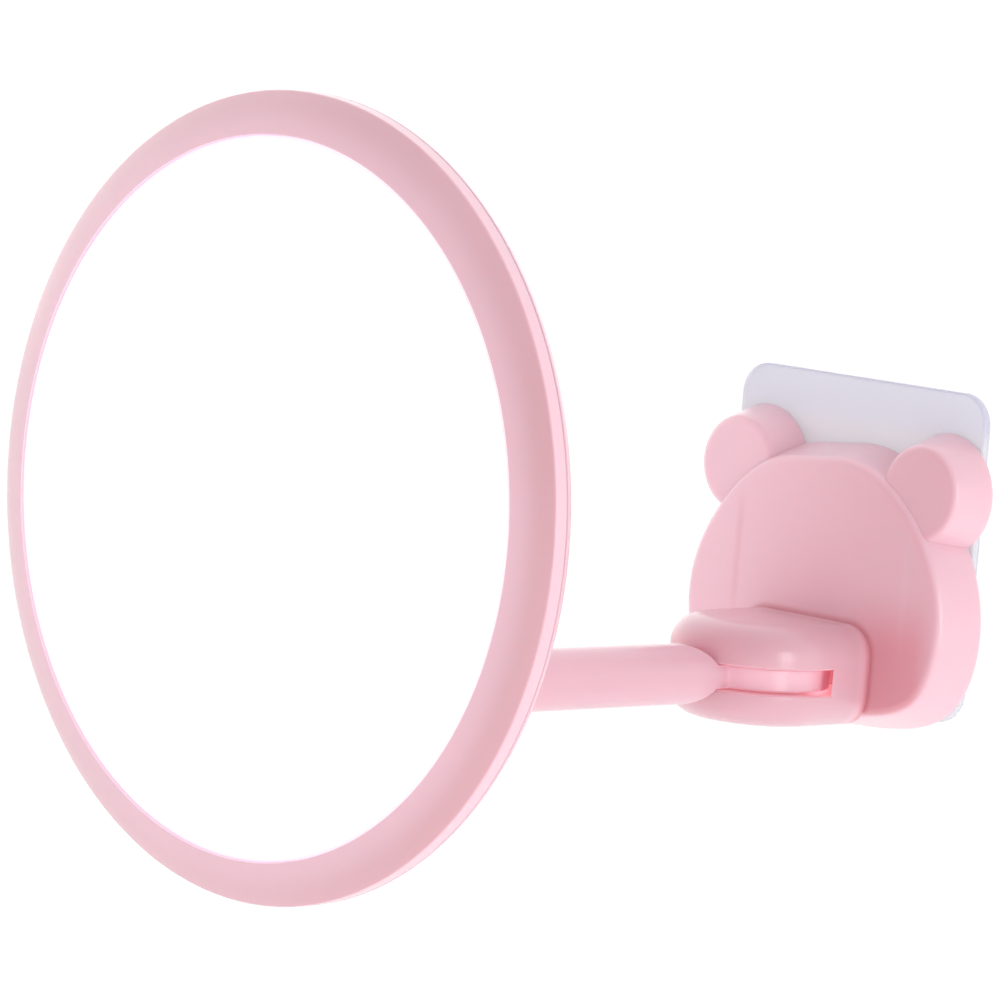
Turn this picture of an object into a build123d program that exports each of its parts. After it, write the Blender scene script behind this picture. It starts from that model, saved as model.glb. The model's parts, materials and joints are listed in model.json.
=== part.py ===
from build123d import *
import math
import os

# Wall-mounted folding mirror on a bear-head base.
# Millimetres. Origin: centre of the adhesive plate, on the wall. +X to the right of a person facing
# the wall, +Y into the wall, +Z up. Sketches on Plane.XZ extrude out from the wall, towards -Y.

os.makedirs("parts", exist_ok=True)

# ---------------------------------------------------------------- driving dimensions
# wall plate
PLATE_SIZE = 80.0
PLATE_CORNER_R = 8.0
FILM_T = 0.5
PLATE_T = 1.5
STUD_X = 14.0
STUD_Z = 2.0
STUD_STEM_R = 2.6
STUD_HEAD_R = 4.6
STUD_HEAD_T = 2.0
LIFT_TRAVEL = 9.0

# bear-head base
REST_GAP = 0.3
HEAD_FRONT = 14.2
EAR_FRONT = 12.8
HEAD_DRAFT = 17.0
HEAD_WALL = 5.4
HEAD_EDGE_R = 2.4
SHELL_T = 2.4
CROWN_Z = 24.0
BROW = (19.0, 21.2)
TEMPLE = (36.0, 7.0)
CHEEK = (44.9, -17.0)
JOWL = (38.0, -37.0)
CHIN_SIDE = (19.0, -43.8)
CHIN_Z = -44.7
EAR_X = 30.0
EAR_Z = 15.3
EAR_R = 14.7
EAR_DRAFT = 17.0
EAR_WALL = 5.0
EAR_EDGE_R = 2.2
COVER_T = 2.0
COVER_FIT = 0.15

# hinge jaws on the base
ARM_Z = -31.45
PIVOT_OUT = 31.5
JAW_R = 21.2
JAW_TOP = -18.45
JAW_BOTTOM = -43.0
JAW_EDGE_R = 7.7
SLOT_HEIGHT = 6.2
SLOT_LIP_R = 0.5
POCKET_R = 21.65
POCKET_WALL = 3.0

# arm
ARM_R = 7.3
ARM_BORE_R = 4.5
TONGUE_R = 18.0
TONGUE_T = 5.6
TONGUE_RIM_R = 0.5
NECK_WIDTH = 13.2
NECK_CORNER_R = 2.0
SHOULDER_R = 21.6
SHOULDER_MID = (24.45, 6.15)
SHOULDER_END = (28.8, 7.45)
ARM_END = 146.5
ARM_BORE_START = 62.0
SWIVEL_OUT = 158.5
TILT_OUT = 176.5

# small knuckles at the arm's outer end
KNUCKLE_R = 7.0
KNUCKLE_WIDTH = 14.0
EYE_T = 6.0
YOKE_GAP = 6.7
WASHER_T = 0.3
RUNNING_FIT = 0.05

# mirror
MIRROR_OUT = 199.5
MIRROR_Z = 12.0
FRAME_R = 90.0
RING_BORE_R = 80.05
GLASS_R = 79.9
GLASS_T = 3.0
GLASS_SET_BACK = 0.3
LEDGE_R = 76.5
LEDGE_T = 1.6
BEVEL_DEPTH = 4.0
PARTING_DEPTH = 7.35
RING_WALL = 2.4
BACK_DEPTH = 14.0
BACK_T = 2.2
PAD_R = 76.0
PAD_T = 2.0


# ---------------------------------------------------------------- planes and small helpers
def out_plane(out, x=0.0, z=0.0):
    """Plane facing the room, `out` mm from the wall."""
    return Plane(origin=(x, -out, z), x_dir=(1, 0, 0), z_dir=(0, -1, 0))


def level_plane(z, x=0.0, out=0.0):
    """Horizontal plane facing up."""
    return Plane(origin=(x, -out, z), x_dir=(1, 0, 0), z_dir=(0, 0, 1))


def side_plane(x, out=0.0, z=0.0):
    """Upright plane facing +X."""
    return Plane(origin=(x, -out, z), x_dir=(0, 1, 0), z_dir=(1, 0, 0))


def inset_outline(points, wall):
    """Points of a clockwise outline, each moved inwards by `wall`."""
    moved = []
    for i, (x, z) in enumerate(points):
        before, after = points[i - 1], points[(i + 1) % len(points)]
        along_x, along_z = after[0] - before[0], after[1] - before[1]
        length = math.hypot(along_x, along_z)
        moved.append((x + wall * along_z / length, z - wall * along_x / length))
    return moved


def save(piece, label):
    piece.part.label = label
    export_step(piece.part, f"parts/{label}.step")


# ---------------------------------------------------------------- adhesive film and wall plate
with BuildPart() as adhesive_film:
    with BuildSketch(out_plane(0.0)):
        RectangleRounded(PLATE_SIZE, PLATE_SIZE, PLATE_CORNER_R)
    extrude(amount=FILM_T)
save(adhesive_film, "adhesive_film")

PLATE_FACE = FILM_T + PLATE_T
COVER_BACK = PLATE_FACE + REST_GAP
COVER_FACE = COVER_BACK + COVER_T
STUD_HEAD_BACK = COVER_FACE + REST_GAP

with BuildPart() as wall_plate:
    with BuildSketch(out_plane(FILM_T)):
        RectangleRounded(PLATE_SIZE, PLATE_SIZE, PLATE_CORNER_R)
    extrude(amount=PLATE_T)
    fillet(wall_plate.faces().sort_by(Axis.Y)[0].edges(), radius=0.6)
    with BuildSketch(out_plane(PLATE_FACE)):
        with Locations((-STUD_X, STUD_Z), (STUD_X, STUD_Z)):
            Circle(STUD_STEM_R)
    extrude(amount=STUD_HEAD_BACK - PLATE_FACE)
    with BuildSketch(out_plane(STUD_HEAD_BACK)):
        with Locations((-STUD_X, STUD_Z), (STUD_X, STUD_Z)):
            Circle(STUD_HEAD_R)
    extrude(amount=STUD_HEAD_T)
    chamfer(wall_plate.faces().sort_by(Axis.Y)[0:2].edges(), length=0.6)
save(wall_plate, "wall_plate")

# ---------------------------------------------------------------- bear-head shell with hinge jaws
with BuildPart() as ear_form:
    with BuildSketch(out_plane(COVER_BACK)):
        with Locations((-EAR_X, EAR_Z), (EAR_X, EAR_Z)):
            Circle(EAR_R)
    extrude(amount=EAR_FRONT - COVER_BACK, taper=EAR_DRAFT)
    fillet(ear_form.faces().sort_by(Axis.Y)[0:2].edges(), radius=EAR_EDGE_R)

HEAD_SIDE = [BROW, TEMPLE, CHEEK, JOWL, CHIN_SIDE]
HEAD_OUTLINE = [(0.0, CROWN_Z)] + HEAD_SIDE + [(0.0, CHIN_Z)] + [(-x, z) for x, z in reversed(HEAD_SIDE)]
CAVITY_FRONT = HEAD_FRONT - SHELL_T

with BuildPart() as jaw_form:
    with BuildSketch(level_plane(JAW_BOTTOM)):
        with Locations((0, -PIVOT_OUT)):
            Circle(JAW_R)
        with Locations((0, -(PIVOT_OUT + CAVITY_FRONT) / 2)):
            Rectangle(2 * JAW_R, PIVOT_OUT - CAVITY_FRONT)
    extrude(amount=JAW_TOP - JAW_BOTTOM)
    rim = jaw_form.edges().filter_by_position(Axis.Y, -PIVOT_OUT - JAW_R - 1, -CAVITY_FRONT - 0.5)
    fillet(rim.group_by(Axis.Z)[0] + rim.group_by(Axis.Z)[-1], radius=JAW_EDGE_R)

COVER_SCREWS = [(-32.0, -21.0), (32.0, -21.0), (-13.0, 13.0), (13.0, 13.0)]
COVER_SCREW_R = 1.4
COVER_SCREW_HEAD_R = 2.7
COVER_SCREW_DEPTH = 6.5
COVER_BOSS_R = 3.6

with BuildPart() as head_form:
    with BuildSketch(out_plane(COVER_BACK)):
        with BuildLine():
            Spline(*HEAD_OUTLINE, periodic=True)
        make_face()
    extrude(amount=HEAD_FRONT - COVER_BACK, taper=HEAD_DRAFT)
    fillet(head_form.faces().sort_by(Axis.Y)[0].edges(), radius=HEAD_EDGE_R)

PIVOT_SCREW_R = 2.5
PIVOT_HEAD_R = 4.6
PIVOT_HEAD_SEAT = JAW_BOTTOM + 4.6
PIVOT_NUT_FLATS = 8.0
PIVOT_NUT_T = 4.0
PIVOT_SCREW_TOP = -22.5
PLUG_R = 5.4
PLUG_T = 1.4
SLOT_TOP = ARM_Z + SLOT_HEIGHT / 2
SLOT_BOTTOM = ARM_Z - SLOT_HEIGHT / 2

with BuildPart() as bear_head_shell:
    add(head_form.part)
    add(ear_form.part)
    # hollow inside, open at the back
    with BuildSketch(out_plane(COVER_BACK)):
        with BuildLine():
            Spline(*inset_outline(HEAD_OUTLINE, HEAD_WALL), periodic=True)
        make_face()
    extrude(amount=CAVITY_FRONT - COVER_BACK, mode=Mode.SUBTRACT)
    with BuildSketch(out_plane(COVER_BACK)):
        with Locations((-EAR_X, EAR_Z), (EAR_X, EAR_Z)):
            Circle(EAR_R - EAR_WALL)
    extrude(amount=EAR_FRONT - SHELL_T - COVER_BACK, mode=Mode.SUBTRACT)
    # solid backing for the jaws, then the jaws themselves
    with BuildSketch(out_plane(PIVOT_OUT - POCKET_R - POCKET_WALL, z=ARM_Z)):
        Rectangle(2 * JAW_R, SLOT_HEIGHT + 2 * POCKET_WALL)
    extrude(amount=HEAD_FRONT - 1.0 - (PIVOT_OUT - POCKET_R - POCKET_WALL))
    add(jaw_form.part)
    # bosses for the cover screws
    with BuildSketch(out_plane(COVER_FACE)):
        with Locations(*COVER_SCREWS):
            Circle(COVER_BOSS_R)
    extrude(amount=CAVITY_FRONT - COVER_FACE + 0.5)
    with BuildSketch(out_plane(COVER_FACE)):
        with Locations(*COVER_SCREWS):
            Circle(COVER_SCREW_R)
    extrude(amount=COVER_SCREW_DEPTH, mode=Mode.SUBTRACT)
    # round pocket that the arm's tongue turns in
    with BuildSketch(level_plane(SLOT_BOTTOM)):
        with Locations((0, -PIVOT_OUT)):
            Circle(POCKET_R)
    extrude(amount=SLOT_HEIGHT, mode=Mode.SUBTRACT)
    lips = bear_head_shell.edges().filter_by_position(Axis.Z, SLOT_BOTTOM - 0.01, SLOT_TOP + 0.01)
    lips = lips.filter_by(Plane.XY).filter_by_position(Axis.Y, -PIVOT_OUT - JAW_R, -PIVOT_OUT + 5)
    fillet(lips, radius=SLOT_LIP_R)
    # pivot screw hole, head recess and nut pocket
    with BuildSketch(level_plane(JAW_BOTTOM, out=PIVOT_OUT)):
        Circle(PLUG_R)
    extrude(amount=PIVOT_HEAD_SEAT - JAW_BOTTOM, mode=Mode.SUBTRACT)
    with BuildSketch(level_plane(JAW_BOTTOM, out=PIVOT_OUT)):
        Circle(PIVOT_SCREW_R)
    extrude(amount=PIVOT_SCREW_TOP - JAW_BOTTOM, mode=Mode.SUBTRACT)
    with BuildSketch(level_plane(SLOT_TOP, out=PIVOT_OUT)):
        RegularPolygon(PIVOT_NUT_FLATS / 2, 6, major_radius=False)
    extrude(amount=PIVOT_NUT_T, mode=Mode.SUBTRACT)
save(bear_head_shell, "bear_head_shell")

# ---------------------------------------------------------------- base cover and its screws
with BuildPart() as base_back_cover:
    with BuildSketch(out_plane(COVER_BACK)):
        with BuildLine():
            Spline(*inset_outline(HEAD_OUTLINE, HEAD_WALL + COVER_FIT), periodic=True)
        make_face()
        with Locations((-EAR_X, EAR_Z), (EAR_X, EAR_Z)):
            Circle(EAR_R - EAR_WALL - COVER_FIT)
    extrude(amount=COVER_T)
    # keyholes: wide at the bottom, narrow where the studs rest
    with BuildSketch(out_plane(COVER_BACK)):
        with Locations((-STUD_X, STUD_Z - LIFT_TRAVEL), (STUD_X, STUD_Z - LIFT_TRAVEL)):
            Circle(STUD_HEAD_R + 0.5)
        for side in (-STUD_X, STUD_X):
            with Locations((side, STUD_Z)):
                Circle(STUD_STEM_R + RUNNING_FIT)
            with Locations((side, STUD_Z - LIFT_TRAVEL / 2)):
                Rectangle(2 * (STUD_STEM_R + RUNNING_FIT), LIFT_TRAVEL)
    extrude(amount=COVER_T, mode=Mode.SUBTRACT)
    with Locations(*[Location((x, -COVER_BACK, z), (-90, 0, 0)) for x, z in COVER_SCREWS]):
        CounterSinkHole(COVER_SCREW_R, COVER_SCREW_HEAD_R, depth=COVER_T, counter_sink_angle=90)
save(base_back_cover, "base_back_cover")

with BuildPart() as back_cover_screws:
    for x, z in COVER_SCREWS:
        with BuildSketch(out_plane(COVER_BACK + 0.2, x=x, z=z)):
            Circle(COVER_SCREW_HEAD_R - 0.3)
        extrude(amount=COVER_SCREW_HEAD_R - 0.3 - COVER_SCREW_R, taper=45)
        with BuildSketch(out_plane(COVER_BACK + 0.2, x=x, z=z)):
            Circle(COVER_SCREW_R)
        extrude(amount=COVER_SCREW_DEPTH)
        with BuildSketch(out_plane(COVER_BACK + 0.2, x=x, z=z)):
            Rectangle(2.6, 0.7)
            Rectangle(0.7, 2.6)
        extrude(amount=0.7, mode=Mode.SUBTRACT)
save(back_cover_screws, "back_cover_screws")

# ---------------------------------------------------------------- pivot hardware in the jaws
PIVOT_HEAD_T = PIVOT_HEAD_SEAT - JAW_BOTTOM - PLUG_T
with BuildPart() as base_pivot_screw:
    with BuildSketch(level_plane(PIVOT_HEAD_SEAT, out=PIVOT_OUT)):
        Circle(PIVOT_HEAD_R)
    extrude(amount=-PIVOT_HEAD_T)
    chamfer(base_pivot_screw.faces().sort_by(Axis.Z)[0].edges(), length=0.5)
    with BuildSketch(level_plane(PIVOT_HEAD_SEAT - PIVOT_HEAD_T, out=PIVOT_OUT)):
        Rectangle(4.6, 1.1)
        Rectangle(1.1, 4.6)
    extrude(amount=1.6, mode=Mode.SUBTRACT)
    with BuildSketch(level_plane(PIVOT_HEAD_SEAT, out=PIVOT_OUT)):
        Circle(PIVOT_SCREW_R)
    extrude(amount=PIVOT_SCREW_TOP - PIVOT_HEAD_SEAT)
save(base_pivot_screw, "base_pivot_screw")

with BuildPart() as base_pivot_nut:
    with BuildSketch(level_plane(SLOT_TOP, out=PIVOT_OUT)):
        RegularPolygon(PIVOT_NUT_FLATS / 2, 6, major_radius=False)
        Circle(PIVOT_SCREW_R, mode=Mode.SUBTRACT)
    extrude(amount=PIVOT_NUT_T)
save(base_pivot_nut, "base_pivot_nut")

PIVOT_WASHER_R = 9.0
PIVOT_WASHER_T = (SLOT_HEIGHT - TONGUE_T) / 2 - RUNNING_FIT
with BuildPart() as base_pivot_washers:
    for height in (SLOT_TOP - PIVOT_WASHER_T, SLOT_BOTTOM):
        with BuildSketch(level_plane(height, out=PIVOT_OUT)):
            Circle(PIVOT_WASHER_R)
            Circle(PIVOT_SCREW_R, mode=Mode.SUBTRACT)
        extrude(amount=PIVOT_WASHER_T)
save(base_pivot_washers, "base_pivot_washers")

with BuildPart() as pivot_screw_plug:
    with BuildSketch(level_plane(JAW_BOTTOM, out=PIVOT_OUT)):
        Circle(PLUG_R)
    extrude(amount=PLUG_T)
    chamfer(pivot_screw_plug.faces().sort_by(Axis.Z)[0].edges(), length=0.4)
save(pivot_screw_plug, "pivot_screw_plug")

# ---------------------------------------------------------------- arm
CROSS_PIN_OUT = ARM_END - 6.0
CROSS_PIN_R = 1.25
PIVOT_SECTION = Plane(origin=(0, -PIVOT_OUT, ARM_Z), x_dir=(0, -1, 0), z_dir=(-1, 0, 0))
PIVOT_AXIS = Axis((0, -PIVOT_OUT, ARM_Z), (0, 0, 1))
BAR_START = PIVOT_OUT + TONGUE_R - 2.0

with BuildPart() as arm:
    with BuildSketch(out_plane(BAR_START, z=ARM_Z)):
        Circle(ARM_R)
    extrude(amount=ARM_END - BAR_START)
    # above and below the tongue the bar rounds down, clear of the jaws
    with BuildSketch(PIVOT_SECTION):
        with BuildLine():
            ThreePointArc((SHOULDER_R, TONGUE_T / 2), SHOULDER_MID, SHOULDER_END)
            Polyline(
                SHOULDER_END,
                (SHOULDER_END[0], ARM_R + 2),
                (0, ARM_R + 2),
                (0, TONGUE_T / 2),
                (SHOULDER_R, TONGUE_T / 2),
            )
        make_face()
        mirror(about=Plane.XZ)
    revolve(axis=PIVOT_AXIS, mode=Mode.SUBTRACT)
    # flat round tongue and the neck that joins it to the bar
    with BuildSketch(level_plane(ARM_Z - TONGUE_T / 2, out=PIVOT_OUT)) as tongue_outline:
        Circle(TONGUE_R)
        with Locations((0, -SHOULDER_R / 2)):
            Rectangle(NECK_WIDTH, SHOULDER_R)
        fillet(tongue_outline.vertices().group_by(Axis.Y)[1], radius=NECK_CORNER_R)
    extrude(amount=TONGUE_T)
    tongue_rims = arm.edges().filter_by(Plane.XY).filter_by_position(Axis.Y, -PIVOT_OUT, 0)
    fillet(tongue_rims, radius=TONGUE_RIM_R)
    with BuildSketch(level_plane(ARM_Z - TONGUE_T / 2, out=PIVOT_OUT)):
        Circle(PIVOT_SCREW_R + RUNNING_FIT)
    extrude(amount=TONGUE_T, mode=Mode.SUBTRACT)
    # hollow outer end for the yoke's spigot
    with BuildSketch(out_plane(ARM_BORE_START, z=ARM_Z)):
        Circle(ARM_BORE_R)
    extrude(amount=ARM_END - ARM_BORE_START, mode=Mode.SUBTRACT)
    with BuildSketch(side_plane(-ARM_R - 1, out=CROSS_PIN_OUT, z=ARM_Z)):
        Circle(CROSS_PIN_R)
    extrude(amount=2 * ARM_R + 2, mode=Mode.SUBTRACT)
save(arm, "arm")

# ---------------------------------------------------------------- yoke at the arm's outer end
SPIGOT_LENGTH = 14.0
YOKE_SLOT_START = SWIVEL_OUT - KNUCKLE_R - 0.8
YOKE_EAR_T = (KNUCKLE_WIDTH - YOKE_GAP) / 2
SMALL_SCREW_R = 2.0
SMALL_HEAD_R = 3.7
SMALL_HEAD_T = 2.4
SMALL_NUT_FLATS = 7.0
SMALL_NUT_T = 3.0
SMALL_WASHER_R = 5.5

with BuildPart() as arm_tip_yoke:
    with BuildSketch(level_plane(ARM_Z - KNUCKLE_R)):
        with Locations((0, -(ARM_END + SWIVEL_OUT) / 2)):
            Rectangle(2 * KNUCKLE_R, SWIVEL_OUT - ARM_END)
        with Locations((0, -SWIVEL_OUT)):
            Circle(KNUCKLE_R)
    extrude(amount=2 * KNUCKLE_R)
    yoke_faces = arm_tip_yoke.faces().sort_by(Axis.Z)
    fillet(yoke_faces[0].edges() + yoke_faces[-1].edges(), radius=1.6)
    with BuildSketch(level_plane(ARM_Z - YOKE_GAP / 2)):
        with Locations((0, -YOKE_SLOT_START - 12)):
            Rectangle(3 * KNUCKLE_R, 24)
    extrude(amount=YOKE_GAP, mode=Mode.SUBTRACT)
    with BuildSketch(out_plane(ARM_END, z=ARM_Z)):
        Circle(ARM_BORE_R)
    extrude(amount=-SPIGOT_LENGTH)
    with BuildSketch(level_plane(ARM_Z - KNUCKLE_R, out=SWIVEL_OUT)):
        Circle(SMALL_SCREW_R)
    extrude(amount=2 * KNUCKLE_R, mode=Mode.SUBTRACT)
    with BuildSketch(side_plane(-KNUCKLE_R, out=CROSS_PIN_OUT, z=ARM_Z)):
        Circle(CROSS_PIN_R)
    extrude(amount=2 * KNUCKLE_R, mode=Mode.SUBTRACT)
save(arm_tip_yoke, "arm_tip_yoke")

with BuildPart() as yoke_cross_pin:
    with BuildSketch(side_plane(-ARM_R + 0.4, out=CROSS_PIN_OUT, z=ARM_Z)):
        Circle(CROSS_PIN_R)
    extrude(amount=2 * ARM_R - 0.8)
save(yoke_cross_pin, "yoke_cross_pin")

# ---------------------------------------------------------------- swivel link between yoke and mirror
LINK_BLOCK_START = SWIVEL_OUT + KNUCKLE_R + 0.6
LINK_BLOCK_END = TILT_OUT - KNUCKLE_R - 0.6
with BuildPart() as swivel_link:
    with BuildSketch(level_plane(ARM_Z - EYE_T / 2)):
        with Locations((0, -SWIVEL_OUT)):
            Circle(KNUCKLE_R)
        with Locations((0, -(SWIVEL_OUT + LINK_BLOCK_END) / 2)):
            Rectangle(2 * KNUCKLE_R, LINK_BLOCK_END - SWIVEL_OUT)
    extrude(amount=EYE_T)
    with BuildSketch(side_plane(-EYE_T / 2)):
        with Locations((-TILT_OUT, ARM_Z)):
            Circle(KNUCKLE_R)
        with Locations((-(TILT_OUT + LINK_BLOCK_START) / 2, ARM_Z)):
            Rectangle(TILT_OUT - LINK_BLOCK_START, 2 * KNUCKLE_R)
    extrude(amount=EYE_T)
    with BuildSketch(out_plane(LINK_BLOCK_START, z=ARM_Z)):
        RectangleRounded(KNUCKLE_WIDTH, KNUCKLE_WIDTH, 2.0)
    extrude(amount=LINK_BLOCK_END - LINK_BLOCK_START)
    with BuildSketch(level_plane(ARM_Z - KNUCKLE_R, out=SWIVEL_OUT)):
        Circle(SMALL_SCREW_R + RUNNING_FIT)
    extrude(amount=2 * KNUCKLE_R, mode=Mode.SUBTRACT)
    with BuildSketch(side_plane(-KNUCKLE_R, out=TILT_OUT, z=ARM_Z)):
        Circle(SMALL_SCREW_R + RUNNING_FIT)
    extrude(amount=2 * KNUCKLE_R, mode=Mode.SUBTRACT)
save(swivel_link, "swivel_link")


# ---------------------------------------------------------------- small screws, nuts and washers
def small_joint_hardware(prefix, frame):
    """Screw, nut and washer pair for a knuckle; `frame` is centred in it with Z along the pin."""
    head_face = frame.offset(-KNUCKLE_WIDTH / 2)
    nut_face = frame.offset(KNUCKLE_WIDTH / 2)
    with BuildPart() as screw:
        with BuildSketch(head_face):
            Circle(SMALL_HEAD_R)
        extrude(amount=-SMALL_HEAD_T)
        fillet(screw.faces().sort_by(Axis(frame.origin, frame.z_dir))[0].edges(), radius=0.9)
        with BuildSketch(head_face):
            Circle(SMALL_SCREW_R)
        extrude(amount=KNUCKLE_WIDTH + SMALL_NUT_T + 0.8)
        with BuildSketch(head_face.offset(-SMALL_HEAD_T)):
            Rectangle(3.8, 0.9)
            Rectangle(0.9, 3.8)
        extrude(amount=1.3, mode=Mode.SUBTRACT)
    save(screw, f"{prefix}_screw")
    with BuildPart() as nut:
        with BuildSketch(nut_face):
            RegularPolygon(SMALL_NUT_FLATS / 2, 6, major_radius=False)
            Circle(SMALL_SCREW_R, mode=Mode.SUBTRACT)
        extrude(amount=SMALL_NUT_T)
    save(nut, f"{prefix}_nut")
    with BuildPart() as washers:
        for start in (YOKE_GAP / 2 - WASHER_T, -YOKE_GAP / 2):
            with BuildSketch(frame.offset(start)):
                Circle(SMALL_WASHER_R)
                Circle(SMALL_SCREW_R, mode=Mode.SUBTRACT)
            extrude(amount=WASHER_T)
    save(washers, f"{prefix}_washers")


small_joint_hardware("swivel", level_plane(ARM_Z, out=SWIVEL_OUT))
small_joint_hardware("tilt", side_plane(0.0, out=TILT_OUT, z=ARM_Z))

# ---------------------------------------------------------------- mirror: bezel, glass, pad, back
# Mirror profiles are drawn as (radius, depth behind the front) and turned about the mirror's axis.
MIRROR_SECTION = Plane(origin=(0, -MIRROR_OUT, MIRROR_Z), x_dir=(1, 0, 0), z_dir=(0, 0, 1))
MIRROR_AXIS = Axis((0, -MIRROR_OUT, MIRROR_Z), (0, 1, 0))
BEVEL_CROWN = (85.2, 1.55)
RING_INNER_R = FRAME_R - RING_WALL
GLASS_BACK = GLASS_SET_BACK + GLASS_T
SEAT_BACK = GLASS_BACK + LEDGE_T
SCREW_CIRCLE_R = 83.6
RING_BOSS_R = 2.6
RING_BOSS_TOP = 7.6
CREASE_R = 0.5
PARTING_CHAMFER = 0.2
BACK_SCREW_R = 1.0
BACK_SCREW_HEAD_R = 2.1
BACK_SCREW_COUNT = 6
BACK_SCREW_SPOTS = [
    (SCREW_CIRCLE_R * math.cos(math.radians(angle)), SCREW_CIRCLE_R * math.sin(math.radians(angle)))
    for angle in range(30, 390, 360 // BACK_SCREW_COUNT)
]


def mirror_plane(depth):
    """Plane behind the mirror's front by `depth`, facing the wall; local Y points down."""
    return Plane(origin=(0, -MIRROR_OUT + depth, MIRROR_Z), x_dir=(1, 0, 0), z_dir=(0, 1, 0))


with BuildPart() as bezel_ring:
    with BuildSketch(MIRROR_SECTION):
        with BuildLine():
            ThreePointArc((RING_BORE_R, 0), BEVEL_CROWN, (FRAME_R, BEVEL_DEPTH))
            Polyline(
                (FRAME_R, BEVEL_DEPTH),
                (FRAME_R, PARTING_DEPTH),
                (RING_INNER_R, PARTING_DEPTH),
                (RING_INNER_R, SEAT_BACK),
                (LEDGE_R, SEAT_BACK),
                (LEDGE_R, GLASS_BACK),
                (RING_BORE_R, GLASS_BACK),
                (RING_BORE_R, 0),
            )
        make_face()
    revolve(axis=MIRROR_AXIS)
    crease_y = -MIRROR_OUT + BEVEL_DEPTH
    fillet(bezel_ring.edges().filter_by_position(Axis.Y, crease_y - 0.01, crease_y + 0.01), radius=CREASE_R)
    parting_y = -MIRROR_OUT + PARTING_DEPTH
    back_rims = bezel_ring.edges().filter_by_position(Axis.Y, parting_y - 0.01, parting_y + 0.01)
    chamfer(back_rims.sort_by(SortBy.RADIUS)[-1], length=PARTING_CHAMFER)
    with BuildSketch(mirror_plane(SEAT_BACK)):
        with Locations(*BACK_SCREW_SPOTS):
            Circle(RING_BOSS_R)
    extrude(amount=RING_BOSS_TOP - SEAT_BACK)
    with BuildSketch(mirror_plane(RING_BOSS_TOP)):
        with Locations(*BACK_SCREW_SPOTS):
            Circle(BACK_SCREW_R)
    extrude(amount=-(RING_BOSS_TOP - SEAT_BACK), mode=Mode.SUBTRACT)
save(bezel_ring, "bezel_ring")

with BuildPart() as mirror_glass:
    with BuildSketch(mirror_plane(GLASS_SET_BACK)):
        Circle(GLASS_R)
    extrude(amount=GLASS_T)
    chamfer(mirror_glass.faces().sort_by(Axis.Y)[0].edges(), length=0.4)
save(mirror_glass, "mirror_glass")

with BuildPart() as foam_pad:
    with BuildSketch(mirror_plane(GLASS_BACK)):
        Circle(PAD_R)
    extrude(amount=PAD_T)
save(foam_pad, "foam_pad")

SIDE_END_DEPTH = 7.8
RIM_MID = (88.7, 9.75)
RIM_INNER_DEPTH = 8.2
SHOULDER = (85.0, 10.9)
CROWN_R = 22.0
DOME_MID = (56.0, 13.2)
SPIGOT_OUTER_R = RING_INNER_R - 0.1
SPIGOT_T = 0.8
SPIGOT_FRONT = 5.4
SUPPORT_RIB_R = 60.0
PAD_BACK = GLASS_BACK + PAD_T
LUG_SLOT = YOKE_GAP
LUG_ROOT_DEPTH = 12.0
LUG_PAD_R = 15.0
LUG_PAD_T = 2.4

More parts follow.
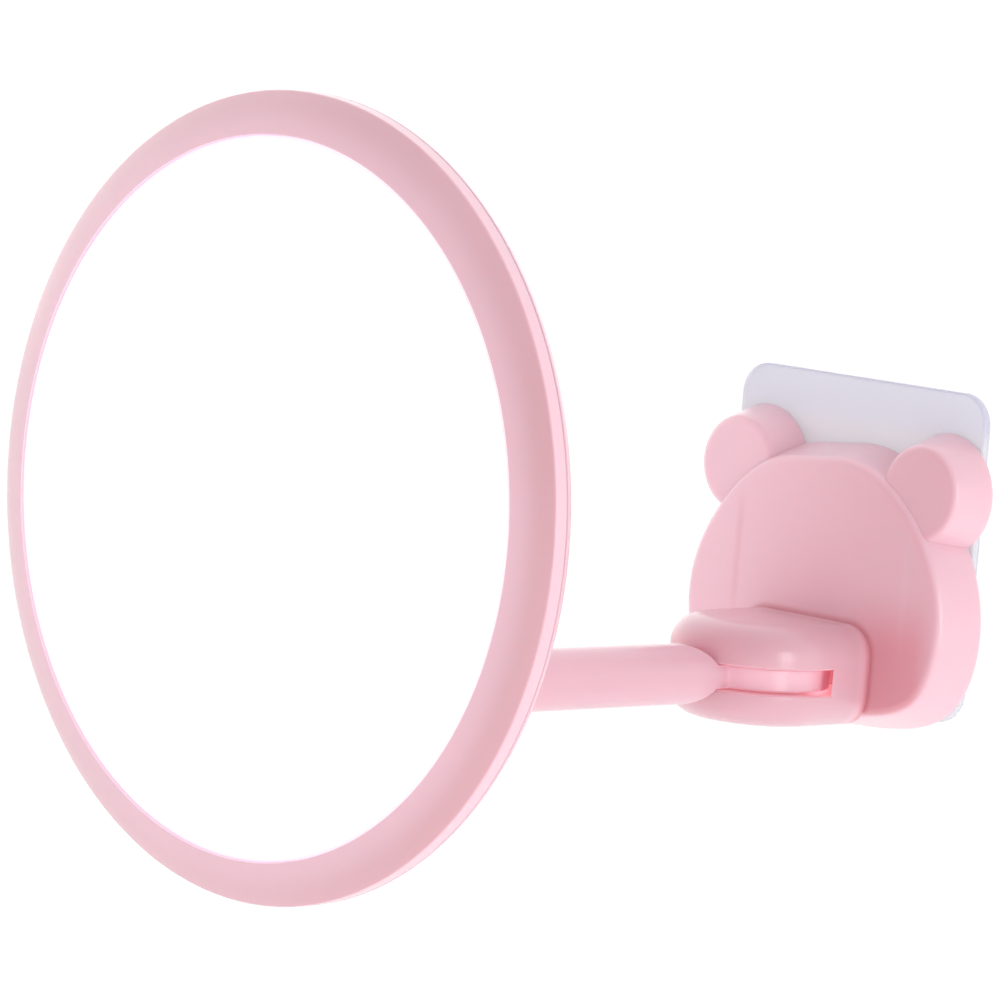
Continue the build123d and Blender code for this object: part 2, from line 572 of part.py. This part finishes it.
with BuildPart() as back_shell:
    with BuildSketch(MIRROR_SECTION):
        with BuildLine():
            Polyline(
                (CROWN_R, BACK_DEPTH - BACK_T),
                (0, BACK_DEPTH - BACK_T),
                (0, BACK_DEPTH),
                (CROWN_R, BACK_DEPTH),
            )
            ThreePointArc((CROWN_R, BACK_DEPTH), DOME_MID, SHOULDER)
            ThreePointArc(SHOULDER, RIM_MID, (FRAME_R, SIDE_END_DEPTH))
            Polyline(
                (FRAME_R, SIDE_END_DEPTH),
                (FRAME_R, PARTING_DEPTH),
                (SPIGOT_OUTER_R, PARTING_DEPTH),
                (SPIGOT_OUTER_R, SPIGOT_FRONT),
                (SPIGOT_OUTER_R - SPIGOT_T, SPIGOT_FRONT),
                (SPIGOT_OUTER_R - SPIGOT_T, RIM_INNER_DEPTH),
                (SHOULDER[0], SHOULDER[1] - BACK_T),
            )
            ThreePointArc(
                (SHOULDER[0], SHOULDER[1] - BACK_T),
                (DOME_MID[0], DOME_MID[1] - BACK_T),
                (CROWN_R, BACK_DEPTH - BACK_T),
            )
        make_face()
    revolve(axis=MIRROR_AXIS)
    front_rims = back_shell.edges().filter_by_position(Axis.Y, parting_y - 0.01, parting_y + 0.01)
    chamfer(front_rims.sort_by(SortBy.RADIUS)[-1], length=PARTING_CHAMFER)
    # ring rib that presses the pad against the glass
    with BuildSketch(mirror_plane(PAD_BACK)):
        Circle(SUPPORT_RIB_R + 0.8)
        Circle(SUPPORT_RIB_R - 0.8, mode=Mode.SUBTRACT)
    extrude(amount=DOME_MID[1] - 1.5 - PAD_BACK)
    # bosses and recesses for the screws that hold the bezel
    with BuildSketch(mirror_plane(RING_BOSS_TOP)):
        with Locations(*BACK_SCREW_SPOTS):
            Circle(RING_BOSS_R + 0.3)
    extrude(amount=SHOULDER[1] - 0.8 - RING_BOSS_TOP)
    with BuildSketch(mirror_plane(RING_BOSS_TOP)):
        with Locations(*BACK_SCREW_SPOTS):
            Circle(BACK_SCREW_R)
    extrude(amount=6.0, mode=Mode.SUBTRACT)
    with BuildSketch(mirror_plane(RING_BOSS_TOP + 1.2)):
        with Locations(*BACK_SCREW_SPOTS):
            Circle(BACK_SCREW_HEAD_R + 0.3)
    extrude(amount=6.0, mode=Mode.SUBTRACT)
    # round pad and two lugs for the tilt pin
    with BuildSketch(out_plane(MIRROR_OUT - LUG_ROOT_DEPTH, z=ARM_Z)):
        Circle(LUG_PAD_R)
    extrude(amount=-LUG_PAD_T)
    with BuildSketch(side_plane(-KNUCKLE_WIDTH / 2)):
        with Locations((-TILT_OUT, ARM_Z)):
            Circle(KNUCKLE_R)
        with Locations((-(TILT_OUT + MIRROR_OUT - LUG_ROOT_DEPTH) / 2, ARM_Z)):
            Rectangle(MIRROR_OUT - LUG_ROOT_DEPTH - TILT_OUT, 2 * KNUCKLE_R)
    extrude(amount=KNUCKLE_WIDTH)
    with BuildSketch(side_plane(-LUG_SLOT / 2)):
        with Locations((-TILT_OUT + 2.0, ARM_Z)):
            Rectangle(2 * (KNUCKLE_R + 0.7) + 4.0, 2 * KNUCKLE_R + 2)
    extrude(amount=LUG_SLOT, mode=Mode.SUBTRACT)
    with BuildSketch(side_plane(-KNUCKLE_WIDTH / 2, out=TILT_OUT, z=ARM_Z)):
        Circle(SMALL_SCREW_R)
    extrude(amount=KNUCKLE_WIDTH, mode=Mode.SUBTRACT)
save(back_shell, "back_shell")

with BuildPart() as back_shell_screws:
    with BuildSketch(mirror_plane(RING_BOSS_TOP + 1.2)):
        with Locations(*BACK_SCREW_SPOTS):
            Circle(BACK_SCREW_HEAD_R)
    extrude(amount=1.1)
    with BuildSketch(mirror_plane(SEAT_BACK + 0.2)):
        with Locations(*BACK_SCREW_SPOTS):
            Circle(BACK_SCREW_R)
    extrude(amount=RING_BOSS_TOP + 1.2 - SEAT_BACK - 0.2)
    with BuildSketch(mirror_plane(RING_BOSS_TOP + 2.3)):
        with Locations(*BACK_SCREW_SPOTS):
            Rectangle(2.2, 0.5)
            Rectangle(0.5, 2.2)
    extrude(amount=-0.6, mode=Mode.SUBTRACT)
save(back_shell_screws, "back_shell_screws")
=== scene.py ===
import json
import math

import bpy
from mathutils import Matrix, Vector


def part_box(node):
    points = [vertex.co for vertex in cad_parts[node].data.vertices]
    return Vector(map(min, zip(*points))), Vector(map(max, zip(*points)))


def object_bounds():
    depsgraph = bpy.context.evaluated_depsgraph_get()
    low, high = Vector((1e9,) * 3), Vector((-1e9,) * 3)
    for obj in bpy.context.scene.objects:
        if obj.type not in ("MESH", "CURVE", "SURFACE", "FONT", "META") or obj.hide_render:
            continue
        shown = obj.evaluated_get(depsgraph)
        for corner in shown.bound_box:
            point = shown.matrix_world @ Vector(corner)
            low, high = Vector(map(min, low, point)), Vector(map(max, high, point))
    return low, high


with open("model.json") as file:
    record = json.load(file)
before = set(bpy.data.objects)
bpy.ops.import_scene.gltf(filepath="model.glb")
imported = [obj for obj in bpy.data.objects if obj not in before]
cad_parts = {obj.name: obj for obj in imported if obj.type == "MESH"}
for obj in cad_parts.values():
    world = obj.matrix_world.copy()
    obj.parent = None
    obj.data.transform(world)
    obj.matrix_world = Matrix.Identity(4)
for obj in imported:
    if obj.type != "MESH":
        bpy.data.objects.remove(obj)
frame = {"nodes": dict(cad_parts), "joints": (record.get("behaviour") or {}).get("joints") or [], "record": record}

CAD_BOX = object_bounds()
MM = 0.001

scene = bpy.context.scene
nodes = frame["nodes"]


# ------------------------------------------------------------------ sizes and places, in metres
def joint_place(name):
    return next(joint["pos_m"] for joint in frame["joints"] if joint["name"] == name)


# wall plate and film
plate_low, plate_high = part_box("wall_plate")
PLATE_HALF = (plate_high.x - plate_low.x) / 2
PLATE_CORNER = 8.0 * MM
PLATE_EDGE_BAND = 0.9 * MM
PLATE_LIT_TOP = 34.0 * MM
PLATE_LIT_FADE = 9.0 * MM

# hinge: the arm's pin, the pocket that its tongue turns in, and the slot's middle height
PIVOT_X, PIVOT_Y, SLOT_Z = joint_place("arm_swing")
POCKET_R = 21.65 * MM
SLOT_HALF = 3.1 * MM
TONGUE_HALF = 2.8 * MM
TONGUE_R = 18.0 * MM
TONGUE_FADE = 2.0 * MM

# bear's face, and the jaws on it as a rounded box seen from the front
FACE_Y = -14.2 * MM
JAW_HALF_WIDTH = 21.2 * MM
JAW_MIDDLE_Z = -30.7 * MM
JAW_HALF_HEIGHT = 12.3 * MM
JAW_ROUND = 7.7 * MM

# mirror
glass_low, glass_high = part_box("mirror_glass")
MIRROR_Z = (glass_low.z + glass_high.z) / 2
GLASS_R = (glass_high.x - glass_low.x) / 2
BORE_R = GLASS_R + 0.15 * MM
BEVEL_DEPTH = 4.0 * MM
CREASE_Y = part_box("bezel_ring")[0].y + BEVEL_DEPTH

# ------------------------------------------------------------------ colours, and how strongly they tint
# PINK_LIT is a painted-light copy of PINK, for the base and the ring; the arm's darker copy of it is painted
# shade.
PINK = (0.82, 0.49, 0.57)
PINK_LIT = (0.90, 0.57, 0.655)
PINK_SHADED = (0.78, 0.45, 0.53)
PINK_INSIDE = tuple(0.96 * c for c in PINK)
FACE_LIT = (0.985, 0.64, 0.72)
FACE_SHADE = (0.56, 0.26, 0.31)
FACE_SHADE_AMOUNT = 0.45
JAW_SHADE_AMOUNT = 0.43
SHADE_PINK = (0.74, 0.28, 0.33)
CORNER_SHADE_AMOUNT = 0.55
LOW_FACE_AMOUNT = 0.68
# Painted shade in the crease round the jaws.
CREASE_SHADE_RED = (0.66, 0.20, 0.24)
CREASE_SHADE_AMOUNT = 0.6
# Painted streaks on the face: shade on the left one, a pale sheen on the right one.
STREAK_SHEEN_PALE = (0.80, 0.60, 0.72)
SHADE_AND_SHEEN_STREAKS = ((-25.4 * MM, SHADE_PINK, 0.24), (29.8 * MM, STREAK_SHEEN_PALE, 0.14))
BEVEL_SHADE = (0.62, 0.25, 0.27)
BEVEL_SHADE_AMOUNT = 0.24
BEVEL_SIDE_AMOUNT = 0.24
# Painted glow in the hinge slot.
SLOT_GLOW = (0.62, 0.28, 0.30)
SLOT_GLOW_STRENGTH = 0.75
MOUTH_SHARE = 0.5
# Painted glow at the glass edge and on the ring's bore.
GLASS_EDGE_GLOW = (0.62, 0.55, 0.68)
GLASS_EDGE_GLOW_STRENGTH = 0.35
PLATE_SHEET = (0.88, 0.91, 1.0)
# Painted shade along the cut edges of the plate and the film.
PLATE_EDGE_SHADE = (0.70, 0.68, 0.83)
PLATE_ALPHA = 0.55
PLATE_LIT_AMOUNT = 0.7
FILM_SHEET = (0.86, 0.88, 0.97)
FILM_EDGE_SHADE = (0.66, 0.64, 0.80)
FILM_ALPHA = 0.45
WHITE = (1.0, 1.0, 1.0)


# ------------------------------------------------------------------ material helpers
def new_material(name):
    material = bpy.data.materials.new(name)
    material.use_nodes = True
    tree = material.node_tree
    shader = tree.nodes["Principled BSDF"]
    return material, tree, shader


def link(tree, out_socket, in_socket):
    tree.links.new(out_socket, in_socket)


def opaque(colour):
    return colour + (1.0,)


def grey(value):
    return (value, value, value, 1.0)


def object_coordinates(tree):
    """The point in metres from the plate's centre, when its body is at rest."""
    return tree.nodes.new("ShaderNodeTexCoord").outputs["Object"]


def position(tree):
    """X, Y and Z of the point."""
    axes = tree.nodes.new("ShaderNodeSeparateXYZ")
    link(tree, object_coordinates(tree), axes.inputs["Vector"])
    return axes.outputs


def noise(tree, scale, detail=3.0):
    """Noise with `scale` cells to the metre."""
    texture = tree.nodes.new("ShaderNodeTexNoise")
    texture.inputs["Scale"].default_value = scale
    texture.inputs["Detail"].default_value = detail
    texture.inputs["Roughness"].default_value = 0.5
    link(tree, object_coordinates(tree), texture.inputs["Vector"])
    return texture.outputs["Fac"]


def ramp(tree, value, low, high, start=0.35, end=0.65):
    """Colours or greys low to high as value goes from start to end."""
    node = tree.nodes.new("ShaderNodeValToRGB")
    first, last = node.color_ramp.elements
    first.position, last.position = start, end
    first.color, last.color = low, high
    link(tree, value, node.inputs["Fac"])
    return node.outputs["Color"]


def bump(tree, shader, height, strength, distance):
    node = tree.nodes.new("ShaderNodeBump")
    node.inputs["Strength"].default_value = strength
    node.inputs["Distance"].default_value = distance
    link(tree, height, node.inputs["Height"])
    link(tree, node.outputs["Normal"], shader.inputs["Normal"])


def value_math(tree, operation, value, constant=0.0):
    node = tree.nodes.new("ShaderNodeMath")
    node.operation = operation
    link(tree, value, node.inputs[0])
    node.inputs[1].default_value = constant
    return node.outputs[0]


def vector_math(tree, operation, value, constant=(0.0, 0.0, 0.0)):
    node = tree.nodes.new("ShaderNodeVectorMath")
    node.operation = operation
    link(tree, value, node.inputs[0])
    node.inputs[1].default_value = constant
    return node.outputs


def product(tree, *factors):
    result = factors[0]
    for factor in factors[1:]:
        node = tree.nodes.new("ShaderNodeMath")
        node.operation = "MULTIPLY"
        link(tree, result, node.inputs[0])
        link(tree, factor, node.inputs[1])
        result = node.outputs[0]
    return result


def fade(tree, value, start, end):
    """0 at start and 1 at end, eased; start may be above end."""
    node = tree.nodes.new("ShaderNodeMapRange")
    node.interpolation_type = "SMOOTHSTEP"
    node.inputs["From Min"].default_value = start
    node.inputs["From Max"].default_value = end
    link(tree, value, node.inputs["Value"])
    return node.outputs["Result"]


def corner_distance(tree, middle, inner):
    """Distance past the corner centres of a rounded box; `inner` is half its size less the corner."""
    offset = vector_math(tree, "SUBTRACT", object_coordinates(tree), middle)[0]
    flat = vector_math(tree, "MULTIPLY", offset, (1.0, 0.0, 1.0))[0]
    quadrant = vector_math(tree, "ABSOLUTE", flat)[0]
    past = vector_math(tree, "SUBTRACT", quadrant, inner)[0]
    outside = vector_math(tree, "MAXIMUM", past, (0.0, 0.0, 0.0))[0]
    return vector_math(tree, "LENGTH", outside)["Value"]


def radius_from(tree, point, across):
    """Distance from the axis through a point; `across` is 1 along the axes that count."""
    offset = vector_math(tree, "SUBTRACT", object_coordinates(tree), point)[0]
    flat = vector_math(tree, "MULTIPLY", offset, across)[0]
    return vector_math(tree, "LENGTH", flat)["Value"]


def pivot_radius(tree):
    return radius_from(tree, (PIVOT_X, PIVOT_Y, 0.0), (1.0, 1.0, 0.0))


def mirror_radius(tree):
    return radius_from(tree, (0.0, 0.0, MIRROR_Z), (1.0, 0.0, 1.0))


def tint(material, mask, colour, amount=1.0):
    """Blends the base colour towards another by up to `amount`, where the mask is above 0."""
    tree = material.node_tree
    base = tree.nodes["Principled BSDF"].inputs["Base Color"]
    mix = tree.nodes.new("ShaderNodeMixRGB")
    link(tree, value_math(tree, "MULTIPLY", mask, amount), mix.inputs["Fac"])
    link(tree, base.links[0].from_socket, mix.inputs["Color1"])
    mix.inputs["Color2"].default_value = opaque(colour)
    link(tree, mix.outputs["Color"], base)


def glow(material, mask, colour, strength):
    """Light given off where the mask is above 0."""
    tree = material.node_tree
    shader = tree.nodes["Principled BSDF"]
    link(tree, value_math(tree, "MULTIPLY", mask, strength), shader.inputs["Emission Strength"])
    shader.inputs["Emission Color"].default_value = opaque(colour)


# ------------------------------------------------------------------ pink plastic
def pink_plastic(name, colour, rough_low=0.30, rough_high=0.36, coat=0.6):
    """Injection-moulded pink ABS: nearly even colour, and a soft glow inside."""
    material, tree, shader = new_material(name)
    darker = tuple(0.97 * c for c in colour)
    base = ramp(tree, noise(tree, 22.0, detail=2.0), opaque(darker), opaque(colour))
    link(tree, base, shader.inputs["Base Color"])
    fine = noise(tree, 900.0, detail=2.0)
    link(tree, ramp(tree, fine, grey(rough_low), grey(rough_high)), shader.inputs["Roughness"])
    shader.inputs["IOR"].default_value = 1.46
    shader.inputs["Subsurface Weight"].default_value = 0.3
    shader.inputs["Subsurface Radius"].default_value = (6.0 * MM, 2.2 * MM, 2.2 * MM)
    shader.inputs["Subsurface Scale"].default_value = 0.5
    shader.inputs["Coat Weight"].default_value = coat
    shader.inputs["Coat Roughness"].default_value = 0.2
    bump(tree, shader, noise(tree, 160.0, detail=2.0), 0.03, 0.4 * MM)
    return material


def glow_in_slot(material, low_height, high_height):
    """Painted glow inside the slot, standing in for light that comes through the plastic; strongest at its closed
    end.
    """
    tree = material.node_tree
    from_middle = value_math(tree, "SUBTRACT", position(tree)["Z"], SLOT_Z)
    height = value_math(tree, "ABSOLUTE", from_middle)
    inside = fade(tree, pivot_radius(tree), POCKET_R + 0.1 * MM, POCKET_R - 0.4 * MM)
    depth = fade(tree, position(tree)["Y"], PIVOT_Y, PIVOT_Y + 4.0 * MM)
    deeper = value_math(tree, "ADD", depth, MOUTH_SHARE)
    deeper = value_math(tree, "DIVIDE", deeper, 1.0 + MOUTH_SHARE)
    mask = product(tree, inside, fade(tree, height, low_height, high_height), deeper)
    glow(material, mask, SLOT_GLOW, SLOT_GLOW_STRENGTH)


def shade_face(material, front, place):
    """The face and ears are palest on the left and in shade on the right."""
    tree = material.node_tree
    tint(material, front, FACE_LIT)
    rightward = fade(tree, place["X"], -38.0 * MM, 36.0 * MM)
    tint(material, product(tree, front, rightward), FACE_SHADE, FACE_SHADE_AMOUNT)


def shade_jaws(material, place):
    """The jaws are in shade, deepest on the upper one just above the arm."""
    tree = material.node_tree
    jaws = fade(tree, place["Y"], FACE_Y - 0.5 * MM, FACE_Y - 5.0 * MM)
    tint(material, jaws, FACE_SHADE, JAW_SHADE_AMOUNT)
    leftward = fade(tree, place["X"], 9.0 * MM, -3.0 * MM)
    low_down = fade(tree, place["Z"], SLOT_Z + 10.5 * MM, SLOT_Z + 5.5 * MM)
    upper_jaw = fade(tree, place["Z"], SLOT_Z, SLOT_Z + 3.0 * MM)
    tint(material, product(tree, leftward, low_down, jaws, upper_jaw), SHADE_PINK, CORNER_SHADE_AMOUNT)


def shade_low_face(material, place):
    """Red shade on the low part of the face, to the right of the jaws."""
    tree = material.node_tree
    low = fade(tree, place["Z"], -6.0 * MM, -24.0 * MM)
    past_jaws = fade(tree, place["X"], 10.0 * MM, 25.0 * MM)
    before_edge = fade(tree, place["X"], 41.0 * MM, 34.0 * MM)
    on_face = fade(tree, place["Y"], FACE_Y + 1.2 * MM, FACE_Y + 0.2 * MM)
    near_face = fade(tree, place["Y"], FACE_Y - 4.0 * MM, FACE_Y - 0.5 * MM)
    mask = product(tree, low, past_jaws, before_edge, on_face, near_face)
    tint(material, mask, SHADE_PINK, LOW_FACE_AMOUNT)


def paint_shade_and_sheen_streaks(material, front, place):
    """Faint upright streaks on the face: a line of painted shade on the left and a pale painted sheen on the
    right.
    """
    tree = material.node_tree
    for mark_x, colour, amount in SHADE_AND_SHEEN_STREAKS:
        off_mark = value_math(tree, "ABSOLUTE", value_math(tree, "SUBTRACT", place["X"], mark_x))
        on_mark = fade(tree, off_mark, 1.8 * MM, 0.0)
        below_top = fade(tree, place["Z"], 12.0 * MM, 0.0)
        above_end = fade(tree, place["Z"], -26.0 * MM, -12.0 * MM)
        tint(material, product(tree, on_mark, front, below_top, above_end), colour, amount)


def shade_jaw_crease(material, place):
    """Painted shade: a dark red line round the jaws, in the crease where they meet the face."""
    tree = material.node_tree
    inner = (JAW_HALF_WIDTH - JAW_ROUND, 0.0, JAW_HALF_HEIGHT - JAW_ROUND)
    outside = corner_distance(tree, (0.0, 0.0, JAW_MIDDLE_Z), inner)
    round_jaws = fade(tree, outside, JAW_ROUND + 1.8 * MM, JAW_ROUND)
    before_face = fade(tree, place["Y"], FACE_Y - 1.8 * MM, FACE_Y - 0.2 * MM)
    on_face = fade(tree, place["Y"], FACE_Y + 0.6 * MM, FACE_Y + 0.1 * MM)
    tint(material, product(tree, round_jaws, before_face, on_face), CREASE_SHADE_RED, CREASE_SHADE_AMOUNT)


def shade_base(material):
    tree = material.node_tree
    place = position(tree)
    normal = tree.nodes.new("ShaderNodeTexCoord").outputs["Normal"]
    facing_room = vector_math(tree, "DOT_PRODUCT", normal, (0.0, -1.0, 0.0))["Value"]
    front = fade(tree, facing_room, 0.6, 0.97)
    shade_face(material, front, place)
    shade_jaws(material, place)
    shade_low_face(material, place)
    paint_shade_and_sheen_streaks(material, front, place)
    shade_jaw_crease(material, place)


def shade_bevel(material):
    """Painted shade on the bevel, darker from the glass to its outer crease, and most so on the lower right."""
    tree = material.node_tree
    outward = fade(tree, mirror_radius(tree), 81.0 * MM, 88.0 * MM)
    in_front = fade(tree, position(tree)["Y"], CREASE_Y + 0.4 * MM, CREASE_Y - 0.3 * MM)
    bevel = product(tree, outward, in_front)
    tint(material, bevel, BEVEL_SHADE, BEVEL_SHADE_AMOUNT)
    lower_right = (0.95, 0.0, -0.3)
    sideways = vector_math(tree, "DOT_PRODUCT", object_coordinates(tree), lower_right)["Value"]
    side = fade(tree, sideways, 25.0 * MM, 82.0 * MM)
    tint(material, product(tree, side, bevel), BEVEL_SHADE, BEVEL_SIDE_AMOUNT)


def light_bore(material):
    """Painted glow on the ring's bore, standing in for the light that the glass edge scatters."""
    tree = material.node_tree
    mask = fade(tree, mirror_radius(tree), BORE_R + 0.15 * MM, BORE_R + 0.05 * MM)
    glow(material, mask, GLASS_EDGE_GLOW, GLASS_EDGE_GLOW_STRENGTH)


# ------------------------------------------------------------------ other materials
def steel(name):
    """Bright zinc-plated steel."""
    material, tree, shader = new_material(name)
    base = ramp(tree, noise(tree, 300.0), (0.50, 0.50, 0.47, 1.0), (0.66, 0.66, 0.63, 1.0))
    link(tree, base, shader.inputs["Base Color"])
    shader.inputs["Metallic"].default_value = 1.0
    link(tree, ramp(tree, noise(tree, 1200.0), grey(0.22), grey(0.38)), shader.inputs["Roughness"])
    bump(tree, shader, noise(tree, 1500.0), 0.1, 0.2 * MM)
    return material


def nylon(name):
    material, tree, shader = new_material(name)
    base = ramp(tree, noise(tree, 200.0), (0.74, 0.73, 0.69, 1.0), (0.82, 0.81, 0.77, 1.0))
    link(tree, base, shader.inputs["Base Color"])
    shader.inputs["Roughness"].default_value = 0.5
    bump(tree, shader, noise(tree, 900.0), 0.1, 0.2 * MM)
    return material


def foam(name):
    material, tree, shader = new_material(name)
    base = ramp(tree, noise(tree, 1500.0), (0.72, 0.72, 0.70, 1.0), (0.84, 0.84, 0.82, 1.0))
    link(tree, base, shader.inputs["Base Color"])
    shader.inputs["Roughness"].default_value = 0.9
    bump(tree, shader, noise(tree, 2500.0), 0.5, 0.4 * MM)
    return material


def mirror_silver(name):
    """Silvered glass; its ground edge is not silvered and has a painted glow standing in for the light it
    scatters.
    """
    material, tree, shader = new_material(name)
    base = ramp(tree, noise(tree, 6.0), (0.965, 0.97, 0.975, 1.0), (0.98, 0.985, 0.985, 1.0))
    link(tree, base, shader.inputs["Base Color"])
    link(tree, ramp(tree, noise(tree, 40.0), grey(0.005), grey(0.02)), shader.inputs["Roughness"])
    silvered = fade(tree, mirror_radius(tree), GLASS_R - 0.3 * MM, GLASS_R - 0.5 * MM)
    link(tree, silvered, shader.inputs["Metallic"])
    less_edge = value_math(tree, "SUBTRACT", silvered, 1.0)
    glow(material, less_edge, GLASS_EDGE_GLOW, -GLASS_EDGE_GLOW_STRENGTH)
    return material


def clear_plastic(name, sheet_tint, edge_shade_tint, alpha):
    """Milky clear square sheet with painted shade along its cut edge, where light is bent."""
    material, tree, shader = new_material(name)
    inner = PLATE_HALF - PLATE_CORNER
    outside = corner_distance(tree, (0.0, 0.0, 0.0), (inner, 0.0, inner))
    edge = fade(tree, outside, PLATE_CORNER - PLATE_EDGE_BAND, PLATE_CORNER)
    base = ramp(tree, edge, opaque(sheet_tint), opaque(edge_shade_tint), 0.0, 1.0)
    link(tree, base, shader.inputs["Base Color"])
    link(tree, ramp(tree, noise(tree, 40.0), grey(0.10), grey(0.20)), shader.inputs["Roughness"])
    shader.inputs["Alpha"].default_value = alpha
    shader.inputs["IOR"].default_value = 1.49
    bump(tree, shader, noise(tree, 60.0), 0.03, 0.4 * MM)
    return material


def light_plate(material):
    """The plate is whiter towards the base, which throws light on it."""
    tree = material.node_tree
    low_part = fade(tree, position(tree)["Z"], PLATE_LIT_TOP, PLATE_LIT_TOP - PLATE_LIT_FADE)
    tint(material, low_part, WHITE, PLATE_LIT_AMOUNT)


# ------------------------------------------------------------------ a material for every piece
base_pink = pink_plastic("pink_abs_base", PINK_LIT)
shade_base(base_pink)
glow_in_slot(base_pink, SLOT_HALF + 0.4 * MM, SLOT_HALF)

ring_pink = pink_plastic("pink_abs_ring", PINK_LIT)
shade_bevel(ring_pink)
light_bore(ring_pink)

# Painted shade: the arm is given the darker copy of the pink, and its tongue in the slot is tinted back to the lit
# one.
arm_pink = pink_plastic("pink_abs_arm", PINK_SHADED)
arm_tree = arm_pink.node_tree
tint(arm_pink, fade(arm_tree, pivot_radius(arm_tree), TONGUE_R + TONGUE_FADE, TONGUE_R), PINK_LIT)
glow_in_slot(arm_pink, TONGUE_HALF - 0.4 * MM, TONGUE_HALF - 0.1 * MM)

plate_clear = clear_plastic("clear_plate", PLATE_SHEET, PLATE_EDGE_SHADE, PLATE_ALPHA)
light_plate(plate_clear)

SLOT_MATERIAL = {
    "pink_abs": pink_plastic("pink_abs", PINK),
    "pink_abs_inner": pink_plastic("pink_abs_inner", PINK_INSIDE, 0.5, 0.6, 0.0),
    "zinc_steel": steel("zinc_steel"),
    "nylon": nylon("nylon"),
    "foam": foam("foam"),
    "mirror": mirror_silver("mirror_silver"),
    "clear_plate": plate_clear,
    "film": clear_plastic("film", FILM_SHEET, FILM_EDGE_SHADE, FILM_ALPHA),
}

NODE_MATERIAL = {"bear_head_shell": base_pink, "arm": arm_pink, "bezel_ring": ring_pink}

for part in frame["record"]["subparts"]:
    piece = nodes[part["node"]]
    material = NODE_MATERIAL.get(part["node"], SLOT_MATERIAL[part["material_slot"]])
    piece.data.materials.clear()
    piece.data.materials.append(material)
    for polygon in piece.data.polygons:
        polygon.use_smooth = True

# ------------------------------------------------------------------ floor
FLOOR_DROP = 0.55
FLOOR_HALF = 60.0
FLOOR_GREY = grey(0.95)
FLOOR_GLOW = 0.12

floor_z = CAD_BOX[0].z - FLOOR_DROP
floor_corners = [
    (side_x * FLOOR_HALF, side_y * FLOOR_HALF, floor_z)
    for side_x, side_y in ((-1, -1), (1, -1), (1, 1), (-1, 1))
]
floor_mesh = bpy.data.meshes.new("studio_floor")
floor_mesh.from_pydata(floor_corners, [], [(0, 1, 2, 3)])
floor = bpy.data.objects.new("studio_floor", floor_mesh)
scene.collection.objects.link(floor)
floor_material, _, floor_shader = new_material("studio_floor")
floor_shader.inputs["Base Color"].default_value = FLOOR_GREY
floor_shader.inputs["Emission Color"].default_value = opaque(WHITE)
floor_shader.inputs["Emission Strength"].default_value = FLOOR_GLOW
floor_shader.inputs["Roughness"].default_value = 0.9
floor_shader.inputs["Specular IOR Level"].default_value = 0.1
floor_mesh.materials.append(floor_material)

# ------------------------------------------------------------------ light
# The studio is white all round, and dimmer only above and behind the camera.
DIM_SIDE = (0.55, -0.70, 0.45)
DIM_START = -0.2
DIM_END = 0.9
BRIGHT_LEVEL = 1.36
DIM_LEVEL = 0.55

world = bpy.data.worlds.new("studio")
scene.world = world
world.use_nodes = True
world_tree = world.node_tree
background = world_tree.nodes["Background"]
background.inputs["Color"].default_value = opaque(WHITE)
sky_direction = world_tree.nodes.new("ShaderNodeTexCoord").outputs["Generated"]
sky_dot = vector_math(world_tree, "DOT_PRODUCT", sky_direction, DIM_SIDE)["Value"]
sky_level = world_tree.nodes.new("ShaderNodeMapRange")
sky_level.interpolation_type = "SMOOTHSTEP"
sky_level.inputs["From Min"].default_value = DIM_START
sky_level.inputs["From Max"].default_value = DIM_END
sky_level.inputs["To Min"].default_value = BRIGHT_LEVEL
sky_level.inputs["To Max"].default_value = DIM_LEVEL
link(world_tree, sky_dot, sky_level.inputs["Value"])
link(world_tree, sky_level.outputs["Result"], background.inputs["Strength"])

SOFTBOX_PLACE = Vector((1.2, -0.2, 0.15))
SOFTBOX_TARGET = Vector((0.0, -0.1, 0.0))
SOFTBOX_WIDTH = 0.40
SOFTBOX_HEIGHT = 0.7
SOFTBOX_WATTS = 3.6

softbox_data = bpy.data.lights.new("side_softbox", "AREA")
softbox_data.shape = "RECTANGLE"
softbox_data.size = SOFTBOX_WIDTH
softbox_data.size_y = SOFTBOX_HEIGHT
softbox_data.energy = SOFTBOX_WATTS
softbox = bpy.data.objects.new("side_softbox", softbox_data)
softbox.location = SOFTBOX_PLACE
softbox.rotation_euler = (SOFTBOX_TARGET - SOFTBOX_PLACE).to_track_quat("-Z", "Y").to_euler()
scene.collection.objects.link(softbox)

# ------------------------------------------------------------------ camera
# The camera stands to the right of the mirror, a little above it, and is rolled a little.
AZIMUTH = math.radians(45.21)
ELEVATION = math.radians(5.76)
ROLL = math.radians(4.93)
SENSOR_WIDTH = 36.0
LENS_PER_SENSOR = 5.5
SIDE_SHIFT = -87.55 * MM
RISE = 2.23 * MM
DISTANCE = 1350.5 * MM
CLIP_END = 200.0

right = Vector((math.cos(AZIMUTH), math.sin(AZIMUTH), 0.0))
back = Vector((
    math.sin(AZIMUTH) * math.cos(ELEVATION),
    -math.cos(AZIMUTH) * math.cos(ELEVATION),
    math.sin(ELEVATION),
))
up = back.cross(right)
camera_x = right * math.cos(ROLL) + up * math.sin(ROLL)
camera_y = up * math.cos(ROLL) - right * math.sin(ROLL)
turn = Matrix((camera_x, camera_y, back)).transposed().to_4x4()

camera_data = bpy.data.cameras.new("camera")
camera_data.sensor_width = SENSOR_WIDTH
camera_data.lens = LENS_PER_SENSOR * SENSOR_WIDTH
camera_data.clip_end = CLIP_END
camera = bpy.data.objects.new("camera", camera_data)
camera.matrix_world = Matrix.Translation(right * SIDE_SHIFT + up * RISE + back * DISTANCE) @ turn
scene.collection.objects.link(camera)
scene.camera = camera

scene.view_settings.view_transform = "Standard"
